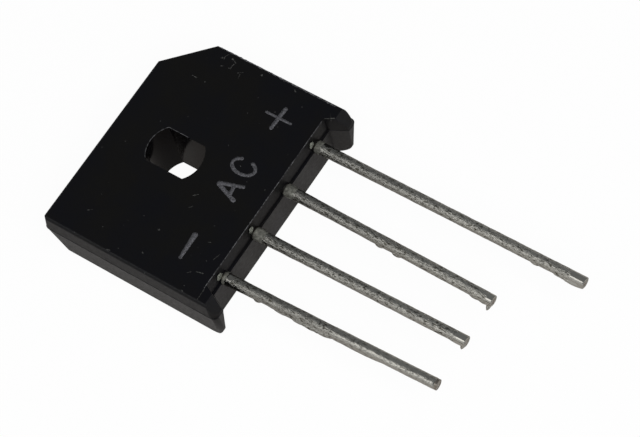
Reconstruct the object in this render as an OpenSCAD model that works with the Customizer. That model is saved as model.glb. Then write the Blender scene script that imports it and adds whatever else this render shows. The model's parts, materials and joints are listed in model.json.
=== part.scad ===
// Single-phase bridge rectifier: four diodes in a moulded in-line package with a screw slot.
// Millimetres. The origin is on the slot's axis at the back face, which goes against a heat sink.
// +X points to the plus side, -Y runs along the leads and +Z comes out of the marked face.

/* [Body] */
// Width at the parting line
body_w = 23.2; // [22:0.1:26]
// Thickness from the back face to the marked face
body_t = 6.85; // [6.5:0.05:8]
// Height of the parting line and of the leads' axes above the back face
lead_z = 5.0; // [4.4:0.05:5.3]
// From the slot's centre up to the top edge, at the parting line
top_y = 7.3; // [7.1:0.1:9]
// From the slot's centre down to the wall that the leads leave, at the parting line
lead_wall_y = 10.5; // [10.4:0.1:12]
// Draft of every outer wall, on both sides of the parting line
draft = 6; // [2:0.5:8]
// Leg of the chamfer that keys the plus corner, at the parting line
key_leg = 4.2; // [3:0.1:4.5]
// How far the marked half's lead wall stands back behind the other half's
step_w = 0.2; // [0.1:0.02:0.4]
// Rounding of the marked face's outer edges
edge_r = 0.35; // [0.1:0.05:0.6]
// Rounding of the upright corners
corner_r = 0.5; // [0.2:0.05:0.8]

/* [Feet] */
// How far the feet stand out below the lead wall
foot_h = 1.6; // [1.2:0.1:2.2]
// Width of a foot's tip at the parting line
foot_w = 1.2; // [0.9:0.1:1.8]
// Lean of a foot's inner flank away from the leads' direction
flank_lean = 27; // [15:1:35]
// How far back from a foot's tip the slope on the marked side starts
slope_w = 1.05; // [0.6:0.05:1.4]
// Height above the parting line at which that slope meets the tip
slope_up = 0.4; // [0.2:0.05:0.8]
// Rounding of a foot's tip on the back side
foot_back_r = 1.7; // [0.6:0.1:1.8]
// Rounding of a foot's outer upright corner on the marked side
foot_corner_r = 0.7; // [0.3:0.1:1]

/* [Screw slot] */
// Width between the slot's flats
slot_w = 3.8; // [3.2:0.1:4.2]
// Diameter of the slot's round ends, which is its length
slot_l = 5.6; // [5:0.1:6]

/* [Leads] */
// Diameter of the leads outside the case, with their solder coat
lead_d = 1.05; // [0.95:0.05:1.15]
// Diameter of the bulging collar where a lead leaves the case
collar_d = 1.25; // [1.15:0.05:1.5]
// How far the collar stands out of the lead wall
collar_out = 0.7; // [0.3:0.1:1.2]
// Distance between neighbouring leads
lead_pitch = 5.08; // [4.8:0.02:5.3]
// Free length of the minus lead and both alternating-current leads
lead_len = 22.1; // [10:0.1:30]
// Free length of the plus lead, left longer so that it is easy to find
plus_len = 28.2; // [15:0.1:36]
// Sideways lean of the minus lead, towards the plus side
minus_lean = 1.9; // [0:0.1:3]
// Sideways lean of the first alternating-current lead, towards the plus side
ac_1_lean = 0.9; // [0:0.1:3]
// Sideways lean of the second alternating-current lead, towards the minus side
ac_2_lean = 0.7; // [0:0.1:3]
// Sideways lean of the plus lead, towards the plus side
plus_lean = 0.2; // [0:0.1:3]

/* [Copper plates inside] */
// Thickness of the flattened plates
plate_t = 0.6; // [0.4:0.05:0.7]
// Side of the square pad that carries one diode chip
pad_side = 4.2; // [4:0.1:4.3]
// Height of the boss that lifts a pad to its chip
boss_h = 0.25; // [0.15:0.05:0.35]
// Width of the bars that join two pads
bar_w = 2.2; // [1.6:0.1:2.4]
// Width of the strip that passes the slot
strip_w = 0.8; // [0.6:0.05:0.9]

/* [Diode chips] */
// Side of a silicon chip
chip_side = 3.8; // [3:0.1:3.9]
// Thickness of a silicon chip
chip_t = 0.3; // [0.2:0.02:0.35]
// Side of the solder layer, and of the boss under it
solder_side = 3.2; // [2.6:0.1:3.4]
// Thickness of a solder layer
solder_t = 0.08; // [0.05:0.01:0.12]

/* [Hidden] */
$fn = 64;

// Resin left between copper and the slot, the neighbouring copper and the outer walls
slot_cover = 1.1;
copper_gap = 0.6;
top_cover = 2.4;
lead_wall_cover = 2.7;
// How far a collar is set into the case, and its diameter there
collar_in = 0.5;
collar_root_d = 1.05;
// How far inside the lead wall the flattened wires start, and how far the first alternating-current
// lead runs in before it steps down
flat_in = 0.2;
leg_in = 1.6;
plate_corner_r = 0.5;

// Longer than any part of the body, for blocks that cut it
span = 80;
face_margin = 1;
half_w = body_w / 2;
foot_y = lead_wall_y + foot_h;
key_y = (half_w + top_y - key_leg) * cos(45);

// Levels of the sandwich: front plates, front boss, solder, chip, solder, back boss, back plates
front_plate_z = lead_z - plate_t / 2;
front_boss_z = front_plate_z - boss_h;
front_solder_z = front_boss_z - solder_t;
chip_z = front_solder_z - chip_t;
back_solder_z = chip_z - solder_t;
back_boss_z = back_solder_z - boss_h;
back_plate_z = back_boss_z - plate_t;

// Plan of the sandwich: the riser passes the slot, and the pads stand outside it
riser_x = slot_w / 2 + slot_cover + strip_w / 2;
pad_x = riser_x + strip_w / 2 + copper_gap + pad_side / 2;
lower_y = -lead_wall_y + lead_wall_cover + pad_side / 2;
upper_y = top_y - top_cover - pad_side / 2;
top_bar_y = slot_l / 2 + slot_cover + bar_w / 2;
jog_y = -slot_l / 2 - slot_cover - strip_w / 2;
flat_y = -lead_wall_y + flat_in;
leg_y = -lead_wall_y + leg_in;

minus_x = -1.5 * lead_pitch;
ac_1_x = -0.5 * lead_pitch;
ac_2_x = 0.5 * lead_pitch;
plus_x = 1.5 * lead_pitch;

resin_colour = "#1b1c1e";
tin_colour = "#b9b8b3";
silicon_colour = "#5b6068";
solder_colour = "#8d8f92";

// Where a drafted wall stands at height z, counted outwards from its foot at the parting line
function wall_x(z) = -abs(z - lead_z) * tan(draft);

// What rounds off the edge between a drafted wall and a face at height face_z, where up is 1 for
// the marked face and -1 for the back
module edge_rounding(face_z, up, r) {
    x = wall_x(face_z - up * r) - r / cos(draft);
    touch_z = face_z - up * r * (1 - sin(draft));
    difference() {
        polygon([[x, face_z - up * r], [x + r * cos(draft), touch_z],
                 [r, touch_z], [r, face_z + up * r], [x, face_z + up * r]]);
        translate([x, face_z - up * r])
            circle(r);
    }
}

// The section of everything outside a wall, with x outwards and y up. The wall's marked half
// stands back by step. Its edges with the faces can be rounded, and from height slope_z up it can
// slope in to slope_x.
module outside_section(step, marked_r, back_r, slope_x, slope_z) {
    below = -face_margin;
    above = body_t + face_margin;
    polygon([[wall_x(below), below], [0, lead_z], [-step, lead_z],
             [-step + wall_x(above), above], [span, above], [span, below]]);
    if (slope_x < 0) {
        foot = wall_x(slope_z);
        reach = (slope_x - foot) / (body_t - slope_z);
        polygon([[foot, slope_z], [foot + reach * (above - slope_z), above],
                 [span, above], [span, slope_z]]);
    }
    if (marked_r > 0)
        edge_rounding(body_t, 1, marked_r);
    if (back_r > 0)
        edge_rounding(0, -1, back_r);
}

// Everything outside one wall. The wall faces the direction turned by angle from +X, and stands
// at distance from the slot's axis at the parting line.
module outside_wall(angle, distance, marked_r = 0, back_r = 0, step = 0, slope_x = 0,
                    slope_z = body_t) {
    rotate([0, 0, angle])
        translate([distance, 0, 0])
            rotate([90, 0, 0])
                linear_extrude(span, center = true)
                    outside_section(step, marked_r, back_r, slope_x, slope_z);
}

// The gap between the feet: outside the lead wall and both inner flanks
module between_feet() {
    flank = foot_y * sin(flank_lean) - (half_w - foot_w) * cos(flank_lean);
    intersection() {
        outside_wall(-90, lead_wall_y, step = step_w);
        outside_wall(180 + flank_lean, flank);
        outside_wall(-flank_lean, flank);
    }
}

// Rounds the upright corner between two outer walls. It stands at x, y on the parting line, its
// bisector points out at angle, and open is half of the angle that the walls enclose. The marked
// half's radius can be larger.
module corner_rounding(x, y, angle, open, marked_r = corner_r) {
    lean = atan(tan(draft) / sin(open));
    half_open = 90 - acos(pow(sin(draft), 2) - pow(cos(draft), 2) * cos(2 * open)) / 2;
    for (up = [-1, 1]) {
        r = up > 0 ? marked_r : corner_r;
        centre = -r / sin(half_open);
        reach = r / tan(half_open);
        touch = [-reach * cos(half_open), reach * sin(half_open)];
        intersection() {
            translate([x, y, lead_z])
                rotate([0, 0, angle])
                    rotate([0, -up * lean, 0])
                        linear_extrude(span, center = true)
                            difference() {
                                polygon([[centre, 0], touch, [r, touch.y],
                                         [r, -touch.y], [touch.x, -touch.y]]);
                                translate([centre, 0])
                                    circle(r);
                            }
            translate([-span / 2, -span / 2, lead_z - (up < 0 ? span : 0)])
                cube(span);
        }
    }
}

// A block with every outer wall of the case cut on it
module case_block() {
    difference() {
        translate([-body_w, -body_w, 0])
            cube([2 * body_w, 2 * body_w, body_t]);
        outside_wall(0, half_w, edge_r);
        outside_wall(180, half_w, edge_r);
        outside_wall(90, top_y, edge_r);
        outside_wall(45, key_y, edge_r);
        outside_wall(-90, foot_y, back_r = foot_back_r, slope_x = -slope_w,
                     slope_z = lead_z + slope_up);
        between_feet();
    }
}

// The outside of the moulded case
module case_outside() {
    difference() {
        case_block();
        corner_rounding(-half_w, top_y, 135, 45);
        corner_rounding(-half_w, -foot_y, 225, 45, foot_corner_r);
        corner_rounding(half_w, -foot_y, -45, 45, foot_corner_r);
        corner_rounding(half_w - key_leg, top_y, 67.5, 67.5);
        corner_rounding(half_w, top_y - key_leg, 22.5, 67.5);
    }
}

// The screw slot: a round hole between two flats
module screw_slot() {
    translate([0, 0, -1])
        linear_extrude(body_t + 2)
            intersection() {
                circle(d = slot_l);
                square([slot_w, slot_l], center = true);
            }
}

module body() {
    color(resin_colour)
        difference() {
            case_outside();
            screw_slot();
            minus_lead();
            ac_lead_1();
            ac_lead_2();
            plus_lead();
            for (side = [-1, 1], y = [lower_y, upper_y])
                chip_stack(side, y);
        }
}

// The round part of a lead. It leaves the wall at x through its collar and leans by lean about +Z.
module wire(x, free_len, lean) {
    translate([x, -lead_wall_y, lead_z])
        rotate([90, 0, lean])
            rotate_extrude()
                polygon([[0, -collar_in], [collar_root_d / 2, -collar_in],
                         [collar_d / 2, collar_out / 2], [lead_d / 2, collar_out],
                         [lead_d / 2, free_len], [0, free_len]]);
}

// A flat plate between two corners, with rounded corners, whose lower face is at z
module plate(from, to, z) {
    r = plate_corner_r;
    size = to - from;
    translate([from.x, from.y, z])
        linear_extrude(plate_t) {
            translate([r, 0])
                square([size.x - 2 * r, size.y]);
            translate([0, r])
                square([size.x, size.y - 2 * r]);
            for (x = [r, size.x - r], y = [r, size.y - r])
                translate([x, y])
                    circle(r);
        }
}

module square_plate(x, y, side, z) {
    plate([x - side / 2, y - side / 2], [x + side / 2, y + side / 2], z);
}

// A raised square that reaches from a pad to its solder layer
module boss(x, y, z) {
    translate([x - solder_side / 2, y - solder_side / 2, z])
        cube([solder_side, solder_side, boss_h]);
}

// A strip with square ends between two corners, from z up by height
module strip(from, to, z, height = plate_t) {
    translate([from.x, from.y, z])
        cube([to.x - from.x, to.y - from.y, height]);
}

// A flattened wire straight up the middle of x, between two heights y, at the front plates' level
module flat_wire(x, from_y, to_y) {
    strip([x - strip_w / 2, from_y], [x + strip_w / 2, to_y], front_plate_z);
}

// The front plate of one side: both of its pads in one piece, reached by a straight wire
module side_lead(side, free_len, lean) {
    plate([side * pad_x - pad_side / 2, lower_y - pad_side / 2],
          [side * pad_x + pad_side / 2, upper_y + pad_side / 2], front_plate_z);
    for (y = [lower_y, upper_y])
        boss(side * pad_x, y, front_boss_z);
    flat_wire(side * plus_x, flat_y, lower_y);
    wire(side * plus_x, free_len, lean);
}

module minus_lead() {
    color(tin_colour)
        side_lead(-1, lead_len, minus_lean);
}

module plus_lead() {
    color(tin_colour)
        side_lead(1, plus_len, plus_lean);
}

// Two back pads at one height, joined by a bar, each with its boss
module back_pads(y, bar_y) {
    for (side = [-1, 1]) {
        square_plate(side * pad_x, y, pad_side, back_plate_z);
        boss(side * pad_x, y, back_boss_z);
    }
    strip([-pad_x, bar_y - bar_w / 2], [pad_x, bar_y + bar_w / 2], back_plate_z);
}

// The first alternating-current lead steps down to the bar below the slot
module ac_lead_1() {
    leg_h = front_plate_z + plate_t - back_plate_z;
    half_strip = strip_w / 2;
    color(tin_colour) {
        wire(ac_1_x, lead_len, ac_1_lean);
        flat_wire(ac_1_x, flat_y, leg_y);
        strip([ac_1_x - half_strip, leg_y - half_strip],
              [ac_1_x + half_strip, leg_y + half_strip], back_plate_z, leg_h);
        strip([ac_1_x - half_strip, leg_y], [ac_1_x + half_strip, lower_y], back_plate_z);
        back_pads(lower_y, lower_y);
    }
}

// The second passes over that bar and beside the slot, and steps down to the bar above the slot
module ac_lead_2() {
    leg_h = front_plate_z + plate_t - back_plate_z;
    half_strip = strip_w / 2;
    color(tin_colour) {
        wire(ac_2_x, lead_len, -ac_2_lean);
        flat_wire(ac_2_x, flat_y, jog_y);
        strip([ac_2_x - half_strip, jog_y - half_strip], [riser_x + half_strip, jog_y + half_strip],
              front_plate_z);
        flat_wire(riser_x, jog_y, top_bar_y);
        strip([riser_x - half_strip, top_bar_y - bar_w / 2], [riser_x + half_strip, top_bar_y],
              back_plate_z, leg_h);
        back_pads(upper_y, top_bar_y);
    }
}

module chip(side, y) {
    color(silicon_colour)
        translate([side * pad_x - chip_side / 2, y - chip_side / 2, chip_z])
            cube([chip_side, chip_side, chip_t]);
}

module solder(side, y, z) {
    color(solder_colour)
        translate([side * pad_x - solder_side / 2, y - solder_side / 2, z])
            cube([solder_side, solder_side, solder_t]);
}

// One diode: the chip and the solder layer on each of its faces
module chip_stack(side, y) {
    solder(side, y, front_solder_z);
    chip(side, y);
    solder(side, y, back_solder_z);
}

body();
minus_lead();
ac_lead_1();
ac_lead_2();
plus_lead();
chip(-1, lower_y);  // chip_minus_lower
chip(-1, upper_y);  // chip_minus_upper
chip(1, lower_y);  // chip_plus_lower
chip(1, upper_y);  // chip_plus_upper
solder(-1, lower_y, front_solder_z);  // solder_minus_lower_front
solder(-1, lower_y, back_solder_z);  // solder_minus_lower_back
solder(-1, upper_y, front_solder_z);  // solder_minus_upper_front
solder(-1, upper_y, back_solder_z);  // solder_minus_upper_back
solder(1, lower_y, front_solder_z);  // solder_plus_lower_front
solder(1, lower_y, back_solder_z);  // solder_plus_lower_back
solder(1, upper_y, front_solder_z);  // solder_plus_upper_front
solder(1, upper_y, back_solder_z);  // solder_plus_upper_back
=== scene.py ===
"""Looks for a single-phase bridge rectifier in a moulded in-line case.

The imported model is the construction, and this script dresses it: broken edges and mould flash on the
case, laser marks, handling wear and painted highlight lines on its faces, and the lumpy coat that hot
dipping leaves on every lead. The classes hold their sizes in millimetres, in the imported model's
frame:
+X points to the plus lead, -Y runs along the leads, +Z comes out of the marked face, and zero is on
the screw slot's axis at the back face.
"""

from __future__ import annotations

import json
import logging
import math
from dataclasses import dataclass, field
from enum import Enum
from typing import Sequence

import bmesh
import bpy
from mathutils import Euler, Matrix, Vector, noise

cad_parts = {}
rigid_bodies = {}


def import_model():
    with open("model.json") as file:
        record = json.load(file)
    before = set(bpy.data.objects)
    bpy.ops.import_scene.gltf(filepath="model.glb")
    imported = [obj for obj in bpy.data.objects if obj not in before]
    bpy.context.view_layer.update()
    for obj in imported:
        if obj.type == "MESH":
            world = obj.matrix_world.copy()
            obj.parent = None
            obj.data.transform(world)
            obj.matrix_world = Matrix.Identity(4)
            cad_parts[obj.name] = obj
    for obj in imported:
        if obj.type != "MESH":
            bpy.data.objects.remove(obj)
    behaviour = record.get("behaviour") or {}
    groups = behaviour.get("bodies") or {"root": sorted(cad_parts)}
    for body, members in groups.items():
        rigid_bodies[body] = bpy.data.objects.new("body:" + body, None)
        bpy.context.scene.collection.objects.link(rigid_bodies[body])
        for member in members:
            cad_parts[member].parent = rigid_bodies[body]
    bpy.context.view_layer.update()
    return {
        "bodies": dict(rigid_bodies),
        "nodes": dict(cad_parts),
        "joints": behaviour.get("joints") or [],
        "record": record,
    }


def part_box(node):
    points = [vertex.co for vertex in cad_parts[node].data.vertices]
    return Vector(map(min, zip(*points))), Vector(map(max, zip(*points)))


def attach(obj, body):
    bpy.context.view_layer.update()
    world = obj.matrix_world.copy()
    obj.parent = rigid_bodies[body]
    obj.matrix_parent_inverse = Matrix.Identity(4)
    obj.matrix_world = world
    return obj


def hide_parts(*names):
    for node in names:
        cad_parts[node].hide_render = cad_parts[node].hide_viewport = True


MM = 0.001
# Corners closer than this, in metres, are one corner.
MERGE = 1e-7
# A face is a wall when its normal's Z is under this.
STEEP = 0.3
# How long and how high a crumb of dust is, as shares of its width.
CRUMB_LENGTH = 1.7
CRUMB_HEIGHT = 0.3
BODY = "root"
log = logging.getLogger("rectifier")


# --------------------------------------------------------------------------- node and mesh helpers


def linear(colour: str) -> tuple[float, float, float, float]:
    """Turns an sRGB hex colour into the linear RGBA that a socket takes.

    Args:
        colour: Six hex digits after a hash.

    Returns:
        Red, green, blue and an alpha of one.
    """
    channels = []
    for start in (1, 3, 5):
        value = int(colour[start:start + 2], 16) / 255
        channels.append(value / 12.92 if value <= 0.04045 else ((value + 0.055) / 1.055) ** 2.4)
    return (*channels, 1.0)


def add_node(
    tree: bpy.types.NodeTree,
    kind: str,
    settings: dict[str, object] | None = None,
    inputs: dict[str | int, object] | None = None,
) -> bpy.types.Node:
    """Adds one node with its settings, values and links.

    Args:
        tree: The tree that gets the node.
        kind: The node's type name.
        settings: Attributes of the node itself.
        inputs: A value, or the output socket to link, for each input named or numbered.

    Returns:
        The new node.
    """
    made = tree.nodes.new(kind)
    for name, value in (settings or {}).items():
        setattr(made, name, value)
    for key, value in (inputs or {}).items():
        if isinstance(value, bpy.types.NodeSocket):
            tree.links.new(value, made.inputs[key])
        else:
            made.inputs[key].default_value = value
    return made


def new_material(name: str) -> tuple[bpy.types.Material, bpy.types.NodeTree, bpy.types.Node]:
    """Makes an empty node material.

    Args:
        name: The material's name.

    Returns:
        The material, its tree and its output node.
    """
    material = bpy.data.materials.new(name)
    material.use_nodes = True
    material.node_tree.nodes.clear()
    return material, material.node_tree, add_node(material.node_tree, "ShaderNodeOutputMaterial")


def per_mm(size: float) -> float:
    """Returns a texture's Scale for features of a size in millimetres."""
    return 1 / (size * MM)


def maths(tree: bpy.types.NodeTree, operation: str, *values: object) -> bpy.types.NodeSocket:
    """Adds a Math node over values or sockets, in order, and returns its result."""
    return add_node(
        tree, "ShaderNodeMath", {"operation": operation}, dict(enumerate(values))).outputs[0]


def remap(
    tree: bpy.types.NodeTree,
    value: bpy.types.NodeSocket,
    window: tuple[object, object],
    result: tuple[float, float] = (0.0, 1.0),
) -> bpy.types.NodeSocket:
    """Adds a clamped Map Range node.

    Args:
        tree: The tree that gets the node.
        value: What is mapped.
        window: The two values that give the two results.
        result: The results.

    Returns:
        The mapped value.
    """
    return add_node(tree, "ShaderNodeMapRange", {}, {
        "Value": value, "From Min": window[0], "From Max": window[1],
        "To Min": result[0], "To Max": result[1]}).outputs["Result"]


def grain_at(
    tree: bpy.types.NodeTree,
    place: bpy.types.NodeSocket,
    size: float,
    detail: float,
    roughness: float = 0.5,
) -> bpy.types.NodeSocket:
    """Adds a noise texture.

    Args:
        tree: The tree that gets the node.
        place: The coordinates that it reads.
        size: The size of its grains, in millimetres.
        detail: How many finer layers it has.
        roughness: How strong the finer layers are.

    Returns:
        The noise, from 0 to 1.
    """
    return add_node(tree, "ShaderNodeTexNoise", {}, {
        "Vector": place, "Scale": per_mm(size), "Detail": detail,
        "Roughness": roughness}).outputs["Fac"]


def between(
    tree: bpy.types.NodeTree, share: bpy.types.NodeSocket, first: object, second: object
) -> bpy.types.NodeSocket:
    """Adds a Mix node for numbers and returns its result."""
    return add_node(tree, "ShaderNodeMix", {"data_type": "FLOAT"}, {
        "Factor": share, 2: first, 3: second}).outputs[0]


def blend(
    tree: bpy.types.NodeTree,
    share: bpy.types.NodeSocket,
    first: object,
    second: object,
    mode: str = "MIX",
) -> bpy.types.NodeSocket:
    """Adds a Mix node for colours and returns its result."""
    return add_node(tree, "ShaderNodeMix", {"data_type": "RGBA", "blend_type": mode}, {
        "Factor": share, 6: first, 7: second}).outputs[2]


def layered(
    tree: bpy.types.NodeTree,
    share: object,
    first: bpy.types.NodeSocket,
    second: bpy.types.NodeSocket,
) -> bpy.types.NodeSocket:
    """Adds a Mix Shader node and returns its shader."""
    return add_node(tree, "ShaderNodeMixShader", {}, {0: share, 1: first, 2: second}).outputs[0]


def by_ray(
    tree: bpy.types.NodeTree,
    seen: bpy.types.NodeSocket,
    mirrored: bpy.types.NodeSocket,
    other: bpy.types.NodeSocket,
) -> bpy.types.NodeSocket:
    """Picks a shader by the ray that meets it.

    Args:
        tree: The tree that gets the nodes.
        seen: The shader that the camera sees.
        mirrored: The shader that metal and glass show.
        other: The shader that lights the part.

    Returns:
        The picked shader.
    """
    path = add_node(tree, "ShaderNodeLightPath").outputs
    bounced = maths(tree, "MAXIMUM", path["Is Glossy Ray"], path["Is Transmission Ray"])
    unseen = layered(tree, bounced, other, mirrored)
    return layered(tree, path["Is Camera Ray"], unseen, seen)


def object_of(data: bpy.types.ID, name: str) -> bpy.types.Object:
    """Puts a mesh, curve, lamp or camera in the scene as an object at the origin."""
    made = bpy.data.objects.new(name, data)
    bpy.context.scene.collection.objects.link(made)
    return made


def mesh_from(bm: bmesh.types.BMesh, name: str) -> bpy.types.Mesh:
    """Writes a bmesh out as a new mesh and frees it."""
    mesh = bpy.data.meshes.new(name)
    bm.to_mesh(mesh)
    bm.free()
    return mesh


def merged(solid: bpy.types.Object) -> bmesh.types.BMesh:
    """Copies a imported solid's loose triangles into a bmesh whose corners are shared."""
    bm = bmesh.new()
    bm.from_mesh(solid.data)
    bmesh.ops.remove_doubles(bm, verts=bm.verts, dist=MERGE)
    return bm


def evaluated(piece: bpy.types.Object) -> bpy.types.Mesh:
    """Returns a piece's mesh as its modifiers leave it."""
    graph = bpy.context.evaluated_depsgraph_get()
    return bpy.data.meshes.new_from_object(piece.evaluated_get(graph), depsgraph=graph)

def grow(
    piece: bpy.types.Object, tree: bpy.types.NodeTree, values: dict[str, object]
) -> bpy.types.Object:
    """Runs a Geometry Nodes tree on a piece and keeps the result as a plain mesh.

    Args:
        piece: The curve or mesh that the tree starts from.
        tree: The tree.
        values: The tree's inputs, by name.

    Returns:
        A mesh object of the same name, in the place of the piece.
    """
    modifier = piece.modifiers.new(tree.name, "NODES")
    modifier.node_group = tree
    for item in tree.interface.items_tree:
        if item.name in values:
            modifier[item.identifier] = values[item.name]
    mesh = evaluated(piece)
    name = piece.name
    bpy.data.objects.remove(piece)
    mesh.name = name
    return object_of(mesh, name)


def new_tree(
    name: str, sockets: dict[str, str]
) -> tuple[bpy.types.NodeTree, bpy.types.Node, bpy.types.Node]:

    """Makes an empty Geometry Nodes tree.

    Args:
        name: The tree's name.
        sockets: The type of each named input.

    Returns:
        The tree, its input node and its output node.
    """
    tree = bpy.data.node_groups.new(name, "GeometryNodeTree")
    tree.interface.new_socket("Geometry", in_out="INPUT", socket_type="NodeSocketGeometry")
    for socket, kind in sockets.items():
        tree.interface.new_socket(socket, in_out="INPUT", socket_type=kind)
    tree.interface.new_socket("Geometry", in_out="OUTPUT", socket_type="NodeSocketGeometry")
    return tree, add_node(tree, "NodeGroupInput"), add_node(tree, "NodeGroupOutput")


def smooth_step(value: float) -> float:
    """Eases a value from 0 to 1, and clamps it outside."""
    value = min(max(value, 0.0), 1.0)
    return value * value * (3 - 2 * value)


# --------------------------------------------------------------------------- finishes

@dataclass(frozen=True)
class MouldedEpoxy:
    """Silica-filled black epoxy, pressed in a polished steel mould.

    The filler gives the gloss a fine grain and a few pale specks, and the mould release leaves faint
    bluish clouds. The slot's walls are smoother, because a polished core pin formed them: there the
    mesh's attribute, cored, is 1.
    """

    warm: str = "#0a0908"
    cool: str = "#07070b"
    speck: str = "#3f403f"
    cloud_size: float = 6.0
    cloud_window: tuple[float, float] = (0.38, 0.62)
    grain_size: float = 0.30
    grain_window: tuple[float, float] = (0.3, 0.7)
    grain_depth: float = 0.006
    grain_strength: float = 0.5
    roughness: tuple[float, float] = (0.30, 0.42)
    cored_roughness: float = 0.14
    gloss_level: float = 0.30
    cored_gloss: float = 0.14
    refraction: float = 1.52
    speck_spacing: float = 2.4
    speck_radius: float = 0.05
    specks_missing: float = 0.55

    def material(self) -> bpy.types.Material:
        """Builds the material."""
        material, tree, output = new_material("moulded_epoxy")
        place = add_node(tree, "ShaderNodeTexCoord").outputs["Object"]
        cloud = grain_at(tree, place, self.cloud_size, 4.0, 0.6)
        base = blend(
            tree, remap(tree, cloud, self.cloud_window), linear(self.warm), linear(self.cool))
        grain = grain_at(tree, place, self.grain_size, 3.0)
        gloss = remap(tree, grain, self.grain_window, self.roughness)
        cored = add_node(tree, "ShaderNodeAttribute", {"attribute_name": "cored"}).outputs["Fac"]
        cell = add_node(tree, "ShaderNodeTexVoronoi", {}, {
            "Vector": place, "Scale": per_mm(self.speck_spacing), "Randomness": 1.0})
        inside = maths(
            tree, "LESS_THAN", cell.outputs["Distance"], self.speck_radius / self.speck_spacing)
        chance = add_node(tree, "ShaderNodeSeparateColor", {}, {0: cell.outputs["Color"]})
        rare = maths(tree, "GREATER_THAN", chance.outputs[0], self.specks_missing)
        colour = blend(tree, maths(tree, "MULTIPLY", inside, rare), base, linear(self.speck))
        relief = add_node(tree, "ShaderNodeBump", {}, {
            "Strength": self.grain_strength, "Distance": self.grain_depth * MM, "Height": grain})
        shader = add_node(tree, "ShaderNodeBsdfPrincipled", {}, {
            "Base Color": colour, "IOR": self.refraction,
            "Roughness": between(tree, cored, gloss, self.cored_roughness),
            "Specular IOR Level": between(tree, cored, self.gloss_level, self.cored_gloss),
            "Normal": relief.outputs["Normal"]})
        tree.links.new(shader.outputs[0], output.inputs["Surface"])
        return material


@dataclass(frozen=True)
class Mottled:
    """A skin that breaks up into two shades, such as laser-bleached resin or dried flux.

    The patches have a size in millimetres, and edges is the window of the noise in which the dark
    shade goes over to the light one.
    """

    name: str
    dark: str
    light: str
    patch_size: float
    roughness: float
    metallic: float = 0.0
    edges: tuple[float, float] = (0.40, 0.60)
    relief_depth: float = 0.01
    relief_strength: float = 0.6

    def material(self) -> bpy.types.Material:
        """Builds the material."""
        material, tree, output = new_material(self.name)
        place = add_node(tree, "ShaderNodeTexCoord").outputs["Object"]
        patch = grain_at(tree, place, self.patch_size, 3.0, 0.6)
        colour = blend(tree, remap(tree, patch, self.edges), linear(self.dark), linear(self.light))
        relief = add_node(tree, "ShaderNodeBump", {}, {
            "Strength": self.relief_strength, "Distance": self.relief_depth * MM, "Height": patch})
        shader = add_node(tree, "ShaderNodeBsdfPrincipled", {}, {
            "Base Color": colour, "Roughness": self.roughness, "Metallic": self.metallic,
            "Normal": relief.outputs["Normal"]})
        tree.links.new(shader.outputs[0], output.inputs["Surface"])
        return material


@dataclass(frozen=True)
class SolderDip:
    """Tin solder from a hot dip: bright where it ran smooth, frosted where it froze in grains.

    Each lead's coat carries an attribute, glaze, that is 1 where the solder ran smooth. The base
    colour is darker by the case and paler towards the tips. Grains and streaks are drawn out along the
    leads, the way the solder drained.
    """

    near_case_tone: str = "#b2b0a9"
    bright: str = "#d8d5cc"
    pit: str = "#86847c"
    roughness: tuple[float, float] = (0.12, 0.28)
    glazed_roughness: float = 0.10
    drawn_out: tuple[float, float, float] = (1.0, 0.35, 1.0)
    grain_size: float = 0.14
    grain_depth: float = 0.075
    pit_window: tuple[float, float] = (0.48, 0.36)
    streak_size: float = 0.40
    streak_window: tuple[float, float] = (0.38, 0.62)
    darker_until: float = 12.5
    bright_from: float = 28.0

    def material(self) -> bpy.types.Material:
        """Builds the material."""
        material, tree, output = new_material("solder_dip")
        place = add_node(tree, "ShaderNodeTexCoord").outputs["Object"]
        glaze = add_node(tree, "ShaderNodeAttribute", {"attribute_name": "glaze"}).outputs["Fac"]
        along = add_node(tree, "ShaderNodeMapping", {}, {
            "Vector": place, "Scale": self.drawn_out}).outputs[0]
        grain = grain_at(tree, along, self.grain_size, 3.0, 0.6)
        streak = grain_at(tree, along, self.streak_size, 4.0)
        frost = remap(tree, streak, self.streak_window, self.roughness)
        distance = add_node(tree, "ShaderNodeSeparateXYZ", {}, {0: place}).outputs["Y"]
        # The base colour goes from a darker grey by the case to a paler one towards the tips.
        towards_tip = remap(tree, distance, (-self.darker_until * MM, -self.bright_from * MM))
        tone = blend(tree, towards_tip, linear(self.near_case_tone), linear(self.bright))
        frozen = maths(tree, "SUBTRACT", 1.0, glaze)
        pitted = maths(tree, "MULTIPLY", remap(tree, grain, self.pit_window), frozen)
        relief = add_node(tree, "ShaderNodeBump", {}, {
            "Strength": frozen, "Distance": self.grain_depth * MM,
            "Height": maths(tree, "ADD", grain, streak)})
        shader = add_node(tree, "ShaderNodeBsdfPrincipled", {}, {
            "Base Color": blend(tree, pitted, tone, linear(self.pit), "MULTIPLY"),
            "Roughness": between(tree, glaze, frost, self.glazed_roughness),
            "Metallic": 1.0, "Normal": relief.outputs["Normal"]})
        tree.links.new(shader.outputs[0], output.inputs["Surface"])
        return material


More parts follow.
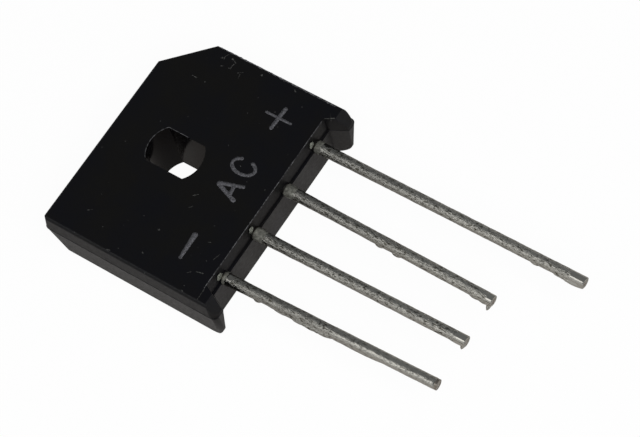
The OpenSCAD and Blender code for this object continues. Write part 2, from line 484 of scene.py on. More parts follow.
class Finish(Enum):
    """Every finish on the part, each with the settings of its material."""

    # Black epoxy with a low, even gloss.
    RESIN = MouldedEpoxy()
    # The laser's heat bleaches the resin to a chalky grey that breaks up at its edges.
    MARK = Mottled("laser_bleached_resin", "#29292b", "#606064", 0.16, 0.75, edges=(0.30, 0.66))
    # A scratch lifts the moulded skin, and the filler under it is a shade paler.
    SCUFF = Mottled("scuffed_resin", "#161616", "#4a4a48", 0.16, 0.60)
    # Painted highlight: narrow pale lines along edges, standing in for the light that rounded edges
    # catch.
    EDGE = Mottled("painted_edge_highlight", "#1e1e1f", "#5c5c5e", 0.30, 0.45)
    # Resin dust lies as dull grey specks.
    DUST = Mottled("mould_dust", "#222222", "#5c5c5a", 0.10, 0.80)
    # Flash is a thin fin, glossier than the face and a little paler.
    FLASH = Mottled("resin_flash", "#151516", "#242426", 0.60, 0.35)
    # Dried flux is a cloudy film of greenish grey.
    FLUX = Mottled("dried_flux", "#4c4e48", "#8f9287", 0.20, 0.40, edges=(0.30, 0.70))
    # Hot-dipped solder flashes bright and dark from grain to grain.
    DIP = SolderDip()
    # A sheared end is matt metal, streaked by the cutter.
    SHEARED = Mottled("sheared_wire", "#8c8b83", "#c4c3b8", 0.16, 0.45, metallic=0.7)
    # Flux over tin dulls a collar to a half-glossy grey.
    RESIDUE = Mottled("flux_on_tin", "#4c4c47", "#8c8c84", 0.30, 0.30, 0.40, edges=(0.30, 0.70))
    # Tinned copper is a satin grey with some warmth in it.
    WIRE = Mottled("tinned_copper", "#a79d90", "#c9c4bb", 0.40, 0.38, metallic=1.0)
    # Ground silicon is blue-grey, with a dull mirror sheen.
    SILICON = Mottled("ground_silicon", "#3f444c", "#5f656e", 0.50, 0.30, metallic=0.6)
    # Solder that set between two plates is an even satin grey.
    JOINT = Mottled("solder_joint", "#77797c", "#9b9da0", 0.30, 0.45, metallic=1.0)


    def material(self) -> bpy.types.Material:
        """Returns the finish's material, built when first asked for."""
        if self not in _materials:
            _materials[self] = self.value.material()
        return _materials[self]


_materials: dict[Finish, bpy.types.Material] = {}


def dress(piece: bpy.types.Object, *finishes: Finish) -> None:
    """Gives a piece its finishes, in the order of its material slots."""
    if piece.data.materials:
        piece.data.materials.clear()
    for finish in finishes:
        piece.data.materials.append(finish.material())


def shade_smooth(piece: bpy.types.Object) -> None:
    """Shades every face of a piece smooth."""
    piece.data.polygons.foreach_set("use_smooth", [True] * len(piece.data.polygons))


# --------------------------------------------------------------------------- Geometry Nodes trees

def uneven(
    tree: bpy.types.NodeTree, given: bpy.types.Node, amount: str, detail: float
) -> bpy.types.NodeSocket:
    """Adds a width that varies along a curve.

    Args:
        tree: The tree that gets the nodes.
        given: The tree's input node, with a socket Grain.
        amount: The name of the input that says how much the width varies.
        detail: How many finer layers the variation has.

    Returns:
        The width, as a share of the curve's own.
    """
    grain = add_node(tree, "ShaderNodeTexNoise", {}, {
        "Vector": add_node(tree, "GeometryNodeInputPosition").outputs[0],
        "Scale": given.outputs["Grain"], "Detail": detail})
    about_zero = maths(tree, "SUBTRACT", grain.outputs["Fac"], 0.5)
    return maths(tree, "MULTIPLY_ADD", about_zero, given.outputs[amount], 1.0)


def close_tree(
    tree: bpy.types.NodeTree,
    given: bpy.types.Node,
    output: bpy.types.Node,
    geometry: bpy.types.NodeSocket,
) -> None:
    """Ends a tree: makes the geometry real and gives it the tree's material."""
    real = add_node(tree, "GeometryNodeRealizeInstances", {}, {0: geometry})
    finished = add_node(tree, "GeometryNodeSetMaterial", {}, {
        0: real.outputs[0], "Material": given.outputs["Material"]})
    tree.links.new(finished.outputs[0], output.inputs[0])


def stroke_tree() -> bpy.types.NodeTree:
    """Builds the tree that turns a flat curve into a thin ribbon, ragged and round at its ends."""
    tree, given, output = new_tree("ragged_stroke", {
        "Width": "NodeSocketFloat", "Height": "NodeSocketFloat", "Step": "NodeSocketFloat",
        "Raggedness": "NodeSocketFloat", "Grain": "NodeSocketFloat",
        "Material": "NodeSocketMaterial"})
    even = add_node(tree, "GeometryNodeResampleCurve", {"mode": "LENGTH"}, {
        "Curve": given.outputs["Geometry"], "Length": given.outputs["Step"]})
    upright = add_node(tree, "GeometryNodeSetCurveNormal", {"mode": "Z_UP"}, {
        "Curve": even.outputs[0]})
    tapered = maths(
        tree, "MULTIPLY", uneven(tree, given, "Raggedness", 2.0),
        add_node(tree, "GeometryNodeInputRadius").outputs[0])
    place = add_node(tree, "GeometryNodeSplineParameter").outputs["Length"]
    whole = add_node(tree, "GeometryNodeSplineLength").outputs["Length"]
    nearest = maths(tree, "MINIMUM", place, maths(tree, "SUBTRACT", whole, place))
    cap = maths(tree, "MULTIPLY", given.outputs["Width"], 0.5)
    inward = remap(tree, nearest, (0.0, cap), (0.95, 0.0))
    rest = maths(tree, "SUBTRACT", 1.0, maths(tree, "POWER", inward, 2.0))
    rounded = maths(tree, "MULTIPLY", tapered, maths(tree, "SQRT", rest))
    section = add_node(tree, "GeometryNodeCurvePrimitiveQuadrilateral", {}, {
        "Width": given.outputs["Width"], "Height": given.outputs["Height"]})
    ribbon = add_node(tree, "GeometryNodeCurveToMesh", {}, {
        "Curve": upright.outputs[0], "Profile Curve": section.outputs[0],
        "Scale": rounded, "Fill Caps": True})
    close_tree(tree, given, output, ribbon.outputs[0])
    return tree


def fin_tree() -> bpy.types.NodeTree:
    """Builds the tree that turns mesh edges into a low fin of mould flash."""
    tree, given, output = new_tree("mould_fin", {
        "Radius": "NodeSocketFloat", "Step": "NodeSocketFloat", "Grain": "NodeSocketFloat",
        "Unevenness": "NodeSocketFloat", "Material": "NodeSocketMaterial"})
    seam = add_node(tree, "GeometryNodeMeshToCurve", {}, {0: given.outputs["Geometry"]})
    even = add_node(tree, "GeometryNodeResampleCurve", {"mode": "LENGTH"}, {
        "Curve": seam.outputs[0], "Length": given.outputs["Step"]})
    section = add_node(tree, "GeometryNodeCurvePrimitiveCircle", {}, {
        "Resolution": 6, "Radius": given.outputs["Radius"]})
    fin = add_node(tree, "GeometryNodeCurveToMesh", {}, {
        "Curve": even.outputs[0], "Profile Curve": section.outputs[0],
        "Scale": uneven(tree, given, "Unevenness", 3.0), "Fill Caps": True})
    close_tree(tree, given, output, fin.outputs[0])
    return tree


def dust_tree() -> bpy.types.NodeTree:
    """Builds the tree that scatters flat crumbs over a surface."""
    tree, given, output = new_tree("scattered_crumbs", {
        "Density": "NodeSocketFloat", "Smallest": "NodeSocketFloat", "Largest": "NodeSocketFloat",
        "Seed": "NodeSocketInt", "Material": "NodeSocketMaterial"})
    spots = add_node(tree, "GeometryNodeDistributePointsOnFaces", {}, {
        "Mesh": given.outputs["Geometry"], "Density": given.outputs["Density"],
        "Seed": given.outputs["Seed"]})
    crumb = add_node(tree, "GeometryNodeMeshIcoSphere", {}, {"Radius": 1.0, "Subdivisions": 1})
    size = add_node(tree, "FunctionNodeRandomValue", {"data_type": "FLOAT"}, {
        2: given.outputs["Smallest"], 3: given.outputs["Largest"],
        "Seed": given.outputs["Seed"]}).outputs[1]
    form = add_node(tree, "ShaderNodeCombineXYZ", {}, {
        0: size, 1: maths(tree, "MULTIPLY", size, CRUMB_LENGTH),
        2: maths(tree, "MULTIPLY", size, CRUMB_HEIGHT)})
    turn = add_node(tree, "FunctionNodeRandomValue", {"data_type": "FLOAT"}, {
        2: 0.0, 3: math.tau, "Seed": 5})
    spin = {"rotation_type": "AXIS_ANGLE", "space": "LOCAL"}
    spun = add_node(tree, "FunctionNodeRotateEuler", spin, {
        "Rotation": spots.outputs["Rotation"], "Axis": (0.0, 0.0, 1.0), "Angle": turn.outputs[1]})
    laid = add_node(tree, "GeometryNodeInstanceOnPoints", {}, {
        "Points": spots.outputs["Points"], "Instance": crumb.outputs["Mesh"],
        "Rotation": spun.outputs[0], "Scale": form.outputs[0]})
    close_tree(tree, given, output, laid.outputs[0])
    return tree


# --------------------------------------------------------------------------- case


@dataclass(frozen=True)
class Stroke:
    """One pull of the marking beam, or one scratch, over points on the marked face."""

    points: tuple[tuple[float, float], ...]
    width: float
    end_width: float | None = None


def arc(
    centre: tuple[float, float],
    radii: tuple[float, float],
    start: float,
    end: float,
    steps: int = 20,
) -> tuple[tuple[float, float], ...]:
    """Works out points along an elliptic arc.

    Args:
        centre: Its middle.
        radii: Its half-width and half-height.
        start: Angle of the first point from +X, in degrees.
        end: Angle of the last point.
        steps: How many pieces the arc is split into.

    Returns:
        The points in order.
    """
    points = []
    for index in range(steps + 1):
        angle = math.radians(start + (end - start) * index / steps)
        x = centre[0] + radii[0] * math.cos(angle)
        y = centre[1] + radii[1] * math.sin(angle)
        points.append((x, y))
    return tuple(points)


@dataclass
class MouldedCase:
    """The resin case, with its marks, mould flash, handling wear and painted highlight lines along
    edges.

    An edge is outside when it lies in the slot, within side_rim of a side wall, within face_rim of
    the back or the marked face, or past the lead wall. Three angles, in degrees, sort the edges:
    faces that meet under flat_below become one, the mould rounds edges over broken_above, and flash
    grows where walls bend by more than seam_above.
    """

    parting_z: float = 5.0
    slot_radius: float = 3.0
    lead_wall_y: float = -10.2
    side_rim: float = 1.0
    face_rim: float = 0.3
    keyed_corner: tuple[float, float] = (6.0, 2.0)
    foot: tuple[float, float] = (9.4, -10.55)
    edge_break: float = 0.05
    edge_segments: int = 2
    flat_face_weight: int = 60
    flat_below: float = 0.4
    broken_above: float = 11.0
    seam_above: float = 5.0
    flash_radius: float = 0.03
    flash_step: float = 0.15
    flash_grain: float = 0.8
    flash_unevenness: float = 1.6
    mark_height: float = 0.006
    mark_rise: float = 0.002
    mark_levels: int = 4
    mark_step: float = 0.06
    mark_grain: float = 0.22
    mark_raggedness: float = 0.60
    scuff_raggedness: float = 2.2
    edge_raggedness: float = 2.6
    dust_per_mm2: float = 0.10
    dust_sizes: tuple[float, float] = (0.012, 0.04)
    dust_seed: int = 4
    marks: dict[str, tuple[Stroke, ...]] = field(default_factory=lambda: {
        "mark_minus": (Stroke(((-8.65, -6.48), (-5.75, -6.36)), 0.34, 0.56),),
        "mark_ac": (
            Stroke(((-1.48, -7.68), (-0.60, -5.16)), 0.42, 0.40),
            Stroke(((-0.60, -5.16), (0.20, -7.70)), 0.40, 0.36),
            Stroke(((-1.17, -6.86), (-0.10, -6.74)), 0.36),
            Stroke(arc((1.88, -6.39), (0.75, 1.21), 22, 340), 0.34),
        ),
        "mark_plus": (
            Stroke(((6.28, -6.35), (8.95, -6.46)), 0.40),
            Stroke(((7.66, -4.92), (7.68, -7.84)), 0.26),
        ),
    })
    scuffs: tuple[Stroke, ...] = (
        # By the keyed corner.
        Stroke(((10.35, 1.99), (10.56, 1.73)), 0.10),
        Stroke(((10.40, 1.62), (10.76, 1.69), (11.12, 1.43)), 0.07),
        Stroke(((10.85, 1.02), (10.61, 0.39)), 0.16, 0.07),
        Stroke(((10.61, 0.39), (10.29, 0.52), (9.80, 0.53), (9.85, 0.78)), 0.08),
        Stroke(((9.62, 1.54), (9.82, 1.22)), 0.06),
        # Along the plus side.
        Stroke(((9.27, -0.74), (9.81, -0.61)), 0.06),
        Stroke(((9.76, -0.30), (10.10, -0.81)), 0.06),
        Stroke(((10.72, -2.40), (10.62, -2.62)), 0.14),
        Stroke(((10.90, -6.05), (10.66, -6.30)), 0.20, 0.10),
        Stroke(((7.58, 1.90), (7.50, 1.78)), 0.10),
        Stroke(((7.55, 3.34), (7.52, 2.76)), 0.05, 0.12),
        # Over the minus half.
        Stroke(((-7.22, -3.05), (-7.16, -3.28)), 0.13),
        Stroke(((-9.76, -3.10), (-9.88, -3.28)), 0.12),
        Stroke(((-11.18, -0.03), (-11.08, -0.45)), 0.10),
        Stroke(((-4.42, -7.36), (-4.34, -7.48)), 0.10),
        Stroke(((-4.00, -4.26), (-3.73, -4.57)), 0.09),
        Stroke(((-2.84, -3.90), (-2.44, -4.33)), 0.08),
        Stroke(((-8.81, 3.82), (-8.49, 3.39)), 0.05),
        # By the minus foot.
        Stroke(((-9.50, -7.85), (-9.16, -8.17)), 0.10, 0.05),
        Stroke(((-8.97, -8.51), (-8.79, -9.25)), 0.05, 0.10),
        Stroke(((-11.11, -8.35), (-11.16, -8.62)), 0.14, 0.06),
        Stroke(((-7.27, -9.23), (-6.48, -9.47)), 0.05),
        Stroke(((-6.04, -7.76), (-5.89, -8.12)), 0.05),
        # On the feet.
        Stroke(((9.64, -10.18), (10.16, -11.00)), 0.10),
        Stroke(((10.36, -10.38), (9.62, -10.94)), 0.04),
        Stroke(((-11.20, -10.18), (-9.97, -10.17)), 0.07),
    )
    # Painted highlights: pale lines along the lead wall's front rim, the slot's rim and the plus
    # side's edge.
    edges: tuple[Stroke, ...] = (
        Stroke(((-9.95, -10.10), (9.30, -10.10)), 0.08),
        Stroke(arc((0.0, 0.0), (2.84, 2.84), 128, 48) + ((1.94, 2.0), (1.94, -0.1)), 0.06),
        Stroke(((11.30, 2.60), (11.22, -10.4)), 0.12),
    )

    def build(self, frame: dict) -> None:
        """Builds and dresses the case.
        """
        solid = frame["nodes"]["body"]
        _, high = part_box("body")
        self.half_width = high[0] / MM
        self.top_y = high[1] / MM
        self.face_z = high[2] / MM
        case = self.broken_edges(solid)
        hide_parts("body")
        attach(case, BODY)
        self.seam(solid)
        self.face_marks()
        self.crumbs(case)
        log.info("moulded_case: %d faces", len(case.data.polygons))

    def is_outside(self, point: Vector) -> bool:
        """Tells whether a point of the case's surface is on its outside, and not in a cavity."""
        x, y, z = point / MM
        in_slot = math.hypot(x, y) < self.slot_radius
        deep = (abs(x) < self.half_width - self.side_rim
                and self.lead_wall_y < y < self.top_y - self.side_rim
                and self.face_rim < z < self.face_z - self.face_rim)
        return in_slot or not deep

    def broken_edges(self, solid: bpy.types.Object) -> bpy.types.Object:
        """Copies the case's surface and rounds every outside edge that the mould leaves sharp."""
        bm = merged(solid)
        bmesh.ops.dissolve_limit(
            bm, angle_limit=math.radians(self.flat_below), verts=bm.verts, edges=bm.edges,
            delimit=set())
        weights = bm.edges.layers.float.new("bevel_weight_edge")
        cored = bm.faces.layers.float.new("cored")
        for face in bm.faces:
            middle = face.calc_center_median() / MM
            in_slot = math.hypot(middle.x, middle.y) < self.slot_radius
            face[cored] = float(in_slot and abs(face.normal.z) < STEEP)
        for edge in bm.edges:
            middle = (edge.verts[0].co + edge.verts[1].co) / 2
            sharp = edge.is_manifold and edge.calc_face_angle() > math.radians(self.broken_above)
            if sharp and self.is_outside(middle):
                edge[weights] = 1.0
        case = object_of(mesh_from(bm, "moulded_case"), "moulded_case")
        rounded = case.modifiers.new("edge_break", "BEVEL")
        rounded.limit_method = "WEIGHT"
        rounded.width = self.edge_break * MM
        rounded.segments = self.edge_segments
        rounded.use_clamp_overlap = True
        flat_first = case.modifiers.new("flat_faces_first", "WEIGHTED_NORMAL")
        flat_first.weight = self.flat_face_weight
        shade_smooth(case)
        mesh = evaluated(case)
        case.modifiers.clear()
        case.data = mesh
        dress(case, Finish.RESIN)
        return case

    def seam(self, solid: bpy.types.Object) -> None:
        """Lays a low fin of flash along the line where the two mould halves met."""
        bm = merged(solid)
        level = self.parting_z * MM
        keep = set()
        for edge in bm.edges:
            on_level = all(abs(vertex.co.z - level) < MERGE for vertex in edge.verts)
            x, y, _ = (edge.verts[0].co + edge.verts[1].co) / 2 / MM
            at_side = abs(x) > self.half_width - self.side_rim or y > self.top_y - self.side_rim
            at_corner = x > self.keyed_corner[0] and y > self.keyed_corner[1]
            at_foot = abs(x) > self.foot[0] and y < self.foot[1]
            bent = edge.is_manifold and edge.calc_face_angle() > math.radians(self.seam_above)
            if on_level and bent and (at_side or at_corner or at_foot):
                keep.add(edge)
        spare = [edge for edge in bm.edges if edge not in keep]
        bmesh.ops.delete(bm, geom=spare, context="EDGES_FACES")
        loose = [vertex for vertex in bm.verts if not vertex.link_edges]
        bmesh.ops.delete(bm, geom=loose, context="VERTS")
        fin = grow(object_of(mesh_from(bm, "mould_flash"), "mould_flash"), fin_tree(), {
            "Radius": self.flash_radius * MM, "Step": self.flash_step * MM,
            "Grain": per_mm(self.flash_grain), "Unevenness": self.flash_unevenness,
            "Material": Finish.FLASH.material()})
        shade_smooth(fin)
        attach(fin, BODY)
        log.info("mould_flash: %d faces", len(fin.data.polygons))

    def face_marks(self) -> None:
        """Draws the polarity marks over the leads, the wear of handling, and painted highlight lines
        along edges.
        """
        tree = stroke_tree()
        for name, strokes in self.marks.items():
            self.engrave(name, strokes, tree, Finish.MARK, self.mark_raggedness)
        self.engrave("scuffs", self.scuffs, tree, Finish.SCUFF, self.scuff_raggedness)
        # The pale lines along the rims are painted highlights.
        self.engrave("painted_edge_highlights", self.edges, tree, Finish.EDGE, self.edge_raggedness)

    def engrave(
        self,
        name: str,
        strokes: Sequence[Stroke],
        tree: bpy.types.NodeTree,
        finish: Finish,
        raggedness: float,
    ) -> None:
        """Makes one piece of several strokes on the marked face.

        Args:
            name: The piece's name.
            strokes: Its strokes.
            tree: The tree that gives a stroke its width.
            finish: What the strokes are made of.
            raggedness: How much a stroke's width varies, as a share of it.
        """
        ribbons = []
        for index, stroke in enumerate(strokes):
            curve = bpy.data.curves.new(name, "CURVE")
            curve.dimensions = "3D"
            spline = curve.splines.new("POLY")
            spline.points.add(len(stroke.points) - 1)
            last = (stroke.end_width or stroke.width) / stroke.width
            for step, (point, (x, y)) in enumerate(zip(spline.points, stroke.points)):
                point.co = (x * MM, y * MM, self.face_z * MM, 1.0)
                point.radius = 1 + (last - 1) * step / (len(stroke.points) - 1)
            # Strokes that cross have different heights, so that no two tops share a plane.
            height = self.mark_height + self.mark_rise * (index % self.mark_levels)
            ribbons.append(grow(object_of(curve, f"{name}_{index}"), tree, {
                "Width": stroke.width * MM, "Height": height * MM, "Step": self.mark_step * MM,
                "Raggedness": raggedness, "Grain": per_mm(self.mark_grain),
                "Material": finish.material()}))
        piece = self.joined(ribbons, name)
        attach(piece, BODY)
        log.info("%s: %d faces", name, len(piece.data.polygons))

    @staticmethod
    def joined(parts: Sequence[bpy.types.Object], name: str) -> bpy.types.Object:
        """Joins mesh objects that share one material into one piece."""
        bm = bmesh.new()
        for part in parts:
            bm.from_mesh(part.data)
        material = parts[0].data.materials[0]
        for part in parts:
            bpy.data.objects.remove(part)
        mesh = mesh_from(bm, name)
        mesh.materials.append(material)
        return object_of(mesh, name)

    def crumbs(self, case: bpy.types.Object) -> None:
        """Scatters dust and resin crumbs over the case."""
        source = object_of(case.data.copy(), "dust")
        dust = grow(source, dust_tree(), {
            "Density": self.dust_per_mm2 / MM ** 2, "Smallest": self.dust_sizes[0] * MM,
            "Largest": self.dust_sizes[1] * MM, "Seed": self.dust_seed,
            "Material": Finish.DUST.material()})
        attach(dust, BODY)
        log.info("dust: %d faces", len(dust.data.polygons))


# --------------------------------------------------------------------------- leads


@dataclass(frozen=True)
class Drip:
    """A ridge or bead of solder that set before it could fall off a lead.

    It starts at a distance from the case and has a length, both along the lead. Its middle stands at
    turn degrees about the lead, from the marked side round towards the minus side. The last two
    values are powers: under 1 makes the form blunt, and over 1 pinches it.
    """

    start: float
    length: float
    height: float
    turn: float = 107.0
    spread: float = 34.0
    blunt_ends: float = 0.6
    pinched_sides: float = 1.3

    def height_at(self, along: float, turn: float) -> float:
        """Returns how far the drip stands out at a place on the lead."""
        share = (along - self.start) / self.length
        if not 0 < share < 1:
            return 0.0
        off = (turn - self.turn + 180) % 360 - 180
        if abs(off) > self.spread:
            return 0.0
        ends = math.sin(math.pi * share) ** self.blunt_ends
        sides = math.cos(math.pi / 2 * off / self.spread) ** self.pinched_sides
        return self.height * ends * sides


class Tip(Enum):
    """How the free end of a lead was cut."""

    SHEARED = "sheared"
    ROUNDED = "rounded"


@dataclass
class Lead:
    """One lead's solder coat, from the case to its cut end.

    The solder starts where the bare root ends, and a hollow leaves at least the thinnest share of
    it. Each glazed stretch has a start, an end and a share from 0 to 1, which says how smooth the
    solder ran there. The cut end dishes in by steps, each with its depth and share of the radius.
    """

    name: str
    mount: str
    drips: tuple[Drip, ...]
    tip: Tip
    seed: float
    bare: float
    glazed: tuple[tuple[float, float, float], ...] = ()
    collar_out: float = 0.7
    collar_swell: float = 0.03
    root_build: float = 0.10
    root_reach: float = 2.0
    coat: float = 0.014
    thinnest: float = 0.3
    lump: float = 0.022
    lump_length: float = 1.1
    lump_around: float = 0.9
    grain: float = 0.010
    grain_length: float = 0.22
    grain_around: float = 2.4
    ridge: float = 0.012
    ridges: int = 11
    ridge_twist: float = 5.0
    bare_wander: float = 0.12
    glaze_ease: float = 0.3
    glaze_evens: float = 0.8
    overlap: float = 0.1
    ring_step: float = 0.07
    around: int = 48
    tip_steps: int = 8
    sheared_round: float = 0.07
    worn_round: float = 0.36
    worn_shift: float = 0.16
    worn_share: float = 0.6
    dish: tuple[tuple[float, float], ...] = ((0.012, 0.8), (0.02, 0.45))

    def build(self, frame: dict) -> None:
        """Builds and dresses the lead.
        """
        mount = next(one for one in frame["record"]["mounts"] if one["name"] == self.mount)
        self.axis = Vector(mount["axis"]).normalized()
        self.radius = mount["dims"]["r_mm"]
        half = mount["dims"]["length_mm"] / 2
        self.root = Vector(mount["pos_m"]) / MM - self.axis * (half + self.collar_out)
        self.length = 2 * half + self.collar_out
        self.up = Vector((0, 0, 1))
        self.minus = self.axis.cross(self.up)
        if self.minus.x > 0:
            self.minus = -self.minus
        piece = self.coat_piece()
        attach(piece, BODY)
        dress(frame["nodes"][self.name], Finish.WIRE)
        log.info("%s: %d faces", piece.name, len(piece.data.polygons))

    def lumps(self, along: float, turn: float) -> float:
        """Returns the coat's own unevenness at a place on the lead, in millimetres."""
        x, y = math.cos(turn), math.sin(turn)
        slow = noise.noise(Vector((
            along / self.lump_length + self.seed, x * self.lump_around, y * self.lump_around)))
        fast = noise.noise(Vector((
            along / self.grain_length + self.seed, x * self.grain_around, y * self.grain_around)))
        return self.lump * slow + self.grain * fast

    def radius_at(self, along: float, turn: float) -> float:
        """Returns the coat's radius at a distance from the case and an angle, in millimetres."""
        swell = self.root_build * math.exp(-max(along, 0.0) / self.root_reach)
        if along < self.collar_out:
            swell += self.collar_swell * (1 - abs(2 * along / self.collar_out - 1))
        deepest = -self.coat * (1 - self.thinnest)
        if along < self.bare_until(turn):
            combed = self.ridge * math.sin(self.ridges * turn + self.ridge_twist * along)
            return self.radius + self.coat + swell + max(combed, deepest)
        drips = sum(drip.height_at(along, math.degrees(turn) % 360) for drip in self.drips)
        smooth = 1 - self.glaze_evens * self.glaze_at(along)
        rough = max(self.lumps(along, turn) * smooth, deepest)
        return self.radius + self.coat + swell + rough + drips

    def bare_until(self, turn: float) -> float:
        """Returns how far from the case the solder starts, at an angle about the lead."""
        wander = noise.noise(Vector((self.seed, math.cos(turn), math.sin(turn))))
        return self.bare + self.bare_wander * wander

    def glaze_at(self, along: float) -> float:
        """Returns how smooth the solder ran at a distance from the case, from 0 to 1."""
        most = 0.0
        for start, end, share in self.glazed:
            begun = smooth_step((along - start) / self.glaze_ease)
            ended = smooth_step((end - along) / self.glaze_ease)
            most = max(most, share * begun * ended)
        return most

    def point(self, along: float, turn: float, share: float, shift: float) -> Vector:
        """Returns a point inside or on the coat, in metres.

        Args:
            along: Distance from the case.
            turn: Angle about the lead, in radians.
            share: Distance from the lead's axis, as a share of the coat's radius there.
            shift: How far the ring's middle moves towards the minus side.

        Returns:
            The point.
        """
        out = self.up * math.cos(turn) + self.minus * math.sin(turn)
        middle = self.root + self.axis * along + self.minus * shift
        return (middle + out * self.radius_at(along, turn) * share) * MM

    def rings(self) -> list[tuple[float, float, float]]:
        """Works out each ring from root to tip: its distance, share of the radius and shift."""
        end = self.length + self.coat
        sheared = self.tip is Tip.SHEARED
        rounding = self.sheared_round if sheared else self.worn_round
        side = 0.0 if sheared else self.worn_shift
        count = int((end - rounding + self.overlap) / self.ring_step)
        rings = [(-self.overlap + index * self.ring_step, 1.0, 0.0) for index in range(count)]
        for index in range(self.tip_steps + 1):
            angle = math.pi / 2 * index / self.tip_steps
            inset = (1 - math.cos(angle)) * rounding / self.radius
            along = end - rounding * (1 - math.sin(angle))
            rings.append((along, 1 - inset, side * inset / self.worn_share))
        _, edge, moved = rings[-1]
        return rings + [(end - depth, edge * share, moved) for depth, share in self.dish]

    def coat_piece(self) -> bpy.types.Object:
        """Builds the coat as one closed skin, with the cut end in its own finish."""
        bm = bmesh.new()
        glaze = bm.verts.layers.float.new("glaze")
        loops = []
        rings = self.rings()
        for along, share, shift in rings:
            loop = []
            for step in range(self.around):
                vertex = bm.verts.new(self.point(along, math.tau * step / self.around, share, shift))
                vertex[glaze] = self.glaze_at(along)
                loop.append(vertex)
            loops.append(loop)
        for index, (first, second) in enumerate(zip(loops, loops[1:])):
            cut = index >= len(loops) - 1 - len(self.dish)
            for step in range(self.around):
                after = (step + 1) % self.around
                face = bm.faces.new((first[step], first[after], second[after], second[step]))
                bare = rings[index][0] < self.bare_until(math.tau * step / self.around)
                face.material_index = 1 if cut else 2 if bare else 0
                face.smooth = True
        bm.faces.new(reversed(loops[0]))
        last = bm.faces.new(loops[-1])
        last.material_index = 1
        bmesh.ops.recalc_face_normals(bm, faces=bm.faces)
        piece = object_of(mesh_from(bm, f"{self.name}_dip"), f"{self.name}_dip")
        dress(piece, Finish.DIP, Finish.SHEARED, Finish.RESIDUE)
        return piece


@dataclass(frozen=True)
class FluxSmear:
    """Dried flux that crept up the lead wall above a lead, as a low uneven blob."""

    name: str
    middle: tuple[float, float, float]
    size: tuple[float, float, float]
    seed: float
    wave_scale: float = 1.7
    unevenness: float = 0.42
    fine_scale: float = 5.0
    fine_unevenness: float = 0.08

    def build(self) -> None:
        """Builds and dresses the smear."""
        bm = bmesh.new()
        bmesh.ops.create_icosphere(bm, subdivisions=4, radius=1.0)
        for vertex in bm.verts:
            wave = noise.noise(vertex.co * self.wave_scale + Vector((self.seed, 0, 0)))
            fine = noise.noise(vertex.co * self.fine_scale + Vector((0, self.seed, 0)))
            vertex.co *= 1 + self.unevenness * wave + self.fine_unevenness * fine
            axes = zip(vertex.co, self.size, self.middle)
            vertex.co = Vector([at * reach + centre for at, reach, centre in axes]) * MM
        piece = object_of(mesh_from(bm, self.name), self.name)
        shade_smooth(piece)
        dress(piece, Finish.FLUX)
        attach(piece, BODY)
        log.info("%s: %d faces", self.name, len(piece.data.polygons))


# --------------------------------------------------------------------------- inside


@dataclass(frozen=True)
class DiodeBridge:
    """The four chips and their solder layers, sealed in the case."""

    def build(self, frame: dict) -> None:
        """Dresses every chip and solder layer."""
        for name, solid in frame["nodes"].items():
            if name.startswith("chip"):
                dress(solid, Finish.SILICON)
            elif name.startswith("solder"):
                dress(solid, Finish.JOINT)


# --------------------------------------------------------------------------- studio


@dataclass(frozen=True)
class SoftBox:
    """An area lamp that faces the part."""

    name: str
    direction: tuple[float, float, float]
    distance: float
    size: float
    radiance: float
    mirrored: bool = True

    def build(self, target: Vector) -> None:
        """Hangs the lamp so that it shines on the target."""
        lamp = bpy.data.lights.new(self.name, "AREA")
        lamp.shape = "SQUARE"
        lamp.size = self.size
        lamp.energy = self.radiance * math.pi * self.size ** 2
        hung = object_of(lamp, self.name)
        direction = Vector(self.direction).normalized()
        hung.location = target + direction * self.distance
        hung.rotation_euler = direction.to_track_quat("Z", "Y").to_euler()
        hung.visible_glossy = self.mirrored


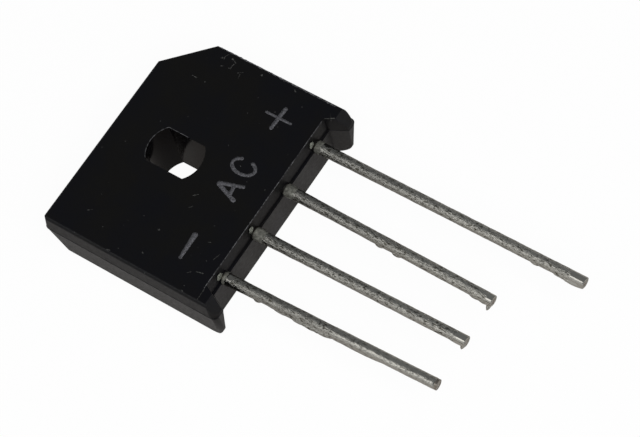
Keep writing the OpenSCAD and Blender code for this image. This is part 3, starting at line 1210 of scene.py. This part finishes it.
@dataclass(frozen=True)
class Studio:
    """The pale floor, the soft light and the camera.

    The key lamp and the cards show in the metal. The wash lamp shows in nothing: it only lifts the
    matt surfaces.
    """

    camera_at: tuple[float, float, float] = (-63.64, -90.13, 192.94)
    camera_turn: tuple[float, float, float] = (26.793, 8.274, -56.731)
    lens: float = 132.6
    aim: tuple[float, float, float] = (0.0, -8.0, 0.0)
    floor_size: float = 4.0
    floor_gap: float = 0.01
    paper: str = "#f4f4f4"
    glow: float = 0.12
    glow_colour: str = "#ffeedf"
    paper_share: float = 0.33
    shadow: float = 0.05
    sky: str = "#3d3f42"
    mirrored_sky: str = "#6c6e70"
    lamps: tuple[SoftBox, ...] = (
        SoftBox("key_box", (-0.57, 0.36, 0.74), distance=0.50, size=0.24, radiance=0.95),
        SoftBox("wash_box", (-0.25, -0.45, 0.86), distance=0.60, size=0.44, radiance=6.0,
                mirrored=False),
        SoftBox("side_card", (-1.0, 0.15, 0.22), distance=0.80, size=0.70, radiance=0.28),
        SoftBox("front_card", (0.25, -1.0, 0.35), distance=0.80, size=0.60, radiance=0.45),
    )

    def build(self) -> None:
        """Builds the stage around the part."""
        self.camera()
        self.floor()
        self.world()
        for lamp in self.lamps:
            lamp.build(Vector(self.aim) * MM)
        bpy.context.scene.view_settings.view_transform = "Standard"

    def camera(self) -> None:
        """Places the camera."""
        data = bpy.data.cameras.new("camera")
        data.sensor_width = 36.0
        data.lens = self.lens
        data.clip_start = 0.01
        data.clip_end = 20.0
        camera = object_of(data, "camera")
        camera.location = Vector(self.camera_at) * MM
        camera.rotation_euler = Euler([math.radians(turn) for turn in self.camera_turn], "XYZ")
        bpy.context.scene.camera = camera

    def floor(self) -> None:
        """Lays a pale floor that the camera sees as white, with the part's faint shadow."""
        bm = bmesh.new()
        bmesh.ops.create_grid(bm, x_segments=1, y_segments=1, size=self.floor_size / 2)
        floor = object_of(mesh_from(bm, "floor"), "floor")
        floor.location.z = -self.floor_gap * MM
        material, tree, output = new_material("pale_floor")
        paper = add_node(tree, "ShaderNodeBsdfDiffuse", {}, {"Color": linear(self.paper)}).outputs[0]
        white = add_node(tree, "ShaderNodeEmission", {}, {"Strength": 1.0}).outputs[0]
        glow = add_node(tree, "ShaderNodeEmission", {}, {
            "Color": linear(self.glow_colour), "Strength": self.glow}).outputs[0]
        seen = layered(tree, self.shadow, white, paper)
        mirrored = layered(tree, self.paper_share, glow, paper)
        tree.links.new(by_ray(tree, seen, mirrored, paper), output.inputs["Surface"])
        floor.data.materials.append(material)

    def world(self) -> None:
        """Sets a dim room that the camera sees as white, and that metal mirrors as pale grey."""
        world = bpy.data.worlds.new("room")
        bpy.context.scene.world = world
        world.use_nodes = True
        tree = world.node_tree
        tree.nodes.clear()
        shades = []
        for colour in ("#ffffff", self.mirrored_sky, self.sky):
            shade = add_node(tree, "ShaderNodeBackground", {}, {
                "Color": linear(colour), "Strength": 1.0})
            shades.append(shade.outputs[0])
        output = add_node(tree, "ShaderNodeOutputWorld")
        tree.links.new(by_ray(tree, *shades), output.inputs["Surface"])


# --------------------------------------------------------------------------- assembly


def leads() -> list[Lead]:
    """Lists the four leads with the solder that set on each."""
    return [
        Lead("minus_lead", "minus_pin", (
            Drip(3.3, 0.7, 0.14), Drip(4.8, 7.6, 0.11), Drip(5.4, 1.2, 0.06), Drip(7.4, 1.3, 0.10),
            Drip(8.5, 1.6, 0.12), Drip(9.8, 1.7, 0.13), Drip(11.6, 4.9, 0.10),
        ), Tip.ROUNDED, seed=3.0, bare=0.20, glazed=((0.2, 0.9, 0.9), (11.5, 23.0, 0.45))),
        Lead("ac_lead_1", "ac_pin_1", (
            Drip(20.6, 1.5, 0.05), Drip(21.75, 0.34, 0.26, 112, 20),
        ), Tip.SHEARED, seed=17.0, bare=0.95, glazed=((20.9, 23.0, 1.0),)),
        Lead("ac_lead_2", "ac_pin_2", (
            Drip(9.9, 0.8, 0.13), Drip(11.7, 0.9, 0.14), Drip(19.9, 1.0, 0.10),
            Drip(20.8, 1.0, 0.12), Drip(21.70, 0.40, 0.50, 116, 20),
        ), Tip.SHEARED, seed=31.0, bare=0.90, glazed=((21.3, 23.0, 1.0),)),
        Lead("plus_lead", "plus_pin", (
            Drip(22.9, 0.8, 0.10), Drip(25.2, 1.0, 0.10), Drip(26.0, 2.3, 0.19),
        ), Tip.SHEARED, seed=47.0, bare=0.45, glazed=((0.4, 0.9, 0.8), (26.6, 29.0, 0.9))),
    ]


def smears() -> list[FluxSmear]:
    """Lists the flux that shows on the lead wall."""
    return [
        FluxSmear("flux_minus", (-8.02, -10.25, 5.80), (0.32, 0.06, 0.46), seed=2.0),
        FluxSmear("flux_ac_1", (-2.80, -10.24, 6.02), (0.28, 0.05, 0.40), seed=5.0),
        FluxSmear("flux_plus", (7.16, -10.24, 5.90), (0.28, 0.05, 0.46), seed=9.0),
    ]


def main() -> None:
    """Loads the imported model, dresses it and sets the stage."""
    logging.basicConfig(level=logging.INFO, format="%(message)s")
    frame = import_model()
    Studio().build()
    MouldedCase().build(frame)
    for lead in leads():
        lead.build(frame)
    for smear in smears():
        smear.build()
    DiodeBridge().build(frame)


if __name__ == "__main__":
    main()
